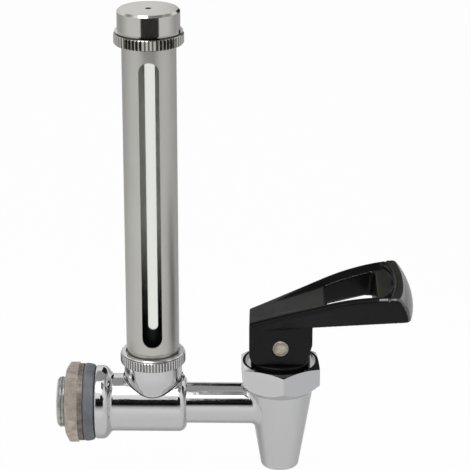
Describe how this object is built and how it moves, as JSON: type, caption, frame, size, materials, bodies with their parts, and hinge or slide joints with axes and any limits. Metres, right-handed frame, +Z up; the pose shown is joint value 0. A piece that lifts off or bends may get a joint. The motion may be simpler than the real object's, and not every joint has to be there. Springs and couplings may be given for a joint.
{
  "type": "sight glass spigot",
  "caption": "Dispenser spigot with a threaded tank shank, an upright slotted gauge tube round a glass, a tapered spout and a lever handle that lifts the valve.",
  "frame": {"origin": "centre of the bead flange's tank-side face, on the threaded shank's axis", "axes": "+X out of the tank along the arm towards the spout, +Z up along the gauge tube, +Y completes the right-handed frame"},
  "size_m": [0.1713, 0.0522, 0.2296],
  "materials": {
    "chrome_plate": "polished",
    "satin_steel": "satin",
    "nickel_brass": "satin",
    "spring_steel": "drawn",
    "grey_silicone": "matte",
    "white_silicone": "matte",
    "black_plastic": "semi-gloss",
    "clear_glass": "clear"
  },
  "bodies": {
    "spigot": {"spigot_body": "chrome_plate", "tank_gasket": "grey_silicone", "tank_washer": "nickel_brass", "lock_nut": "nickel_brass", "union_ring": "satin_steel", "gauge_shield": "satin_steel", "gauge_glass": "clear_glass", "lower_glass_washer": "white_silicone", "upper_glass_washer": "white_silicone", "gauge_cap": "satin_steel", "bonnet": "black_plastic"},
    "stem": {"valve_stem": "nickel_brass", "stem_spring": "spring_steel", "seat_cup": "white_silicone"},
    "lever": {"handle": "black_plastic", "handle_pin": "nickel_brass"}
  },
  "joints": [
    {"name": "stem_lift", "type": "slide", "parent": "spigot", "child": "stem", "axis": [0, 0, 1], "range_m": [0, 0.0035], "deforming": ["stem_spring", "seat_cup"]},
    {"name": "handle_hinge", "type": "hinge", "parent": "stem", "child": "lever", "pos_m": [0.09, 0, 0.0332], "axis": [0, 1, 0], "range_deg": [0, 25]}
  ],
  "couplings": [
    {"joint": "stem_lift", "follows": "handle_hinge", "m_per_rad": 0.008}
  ]
}
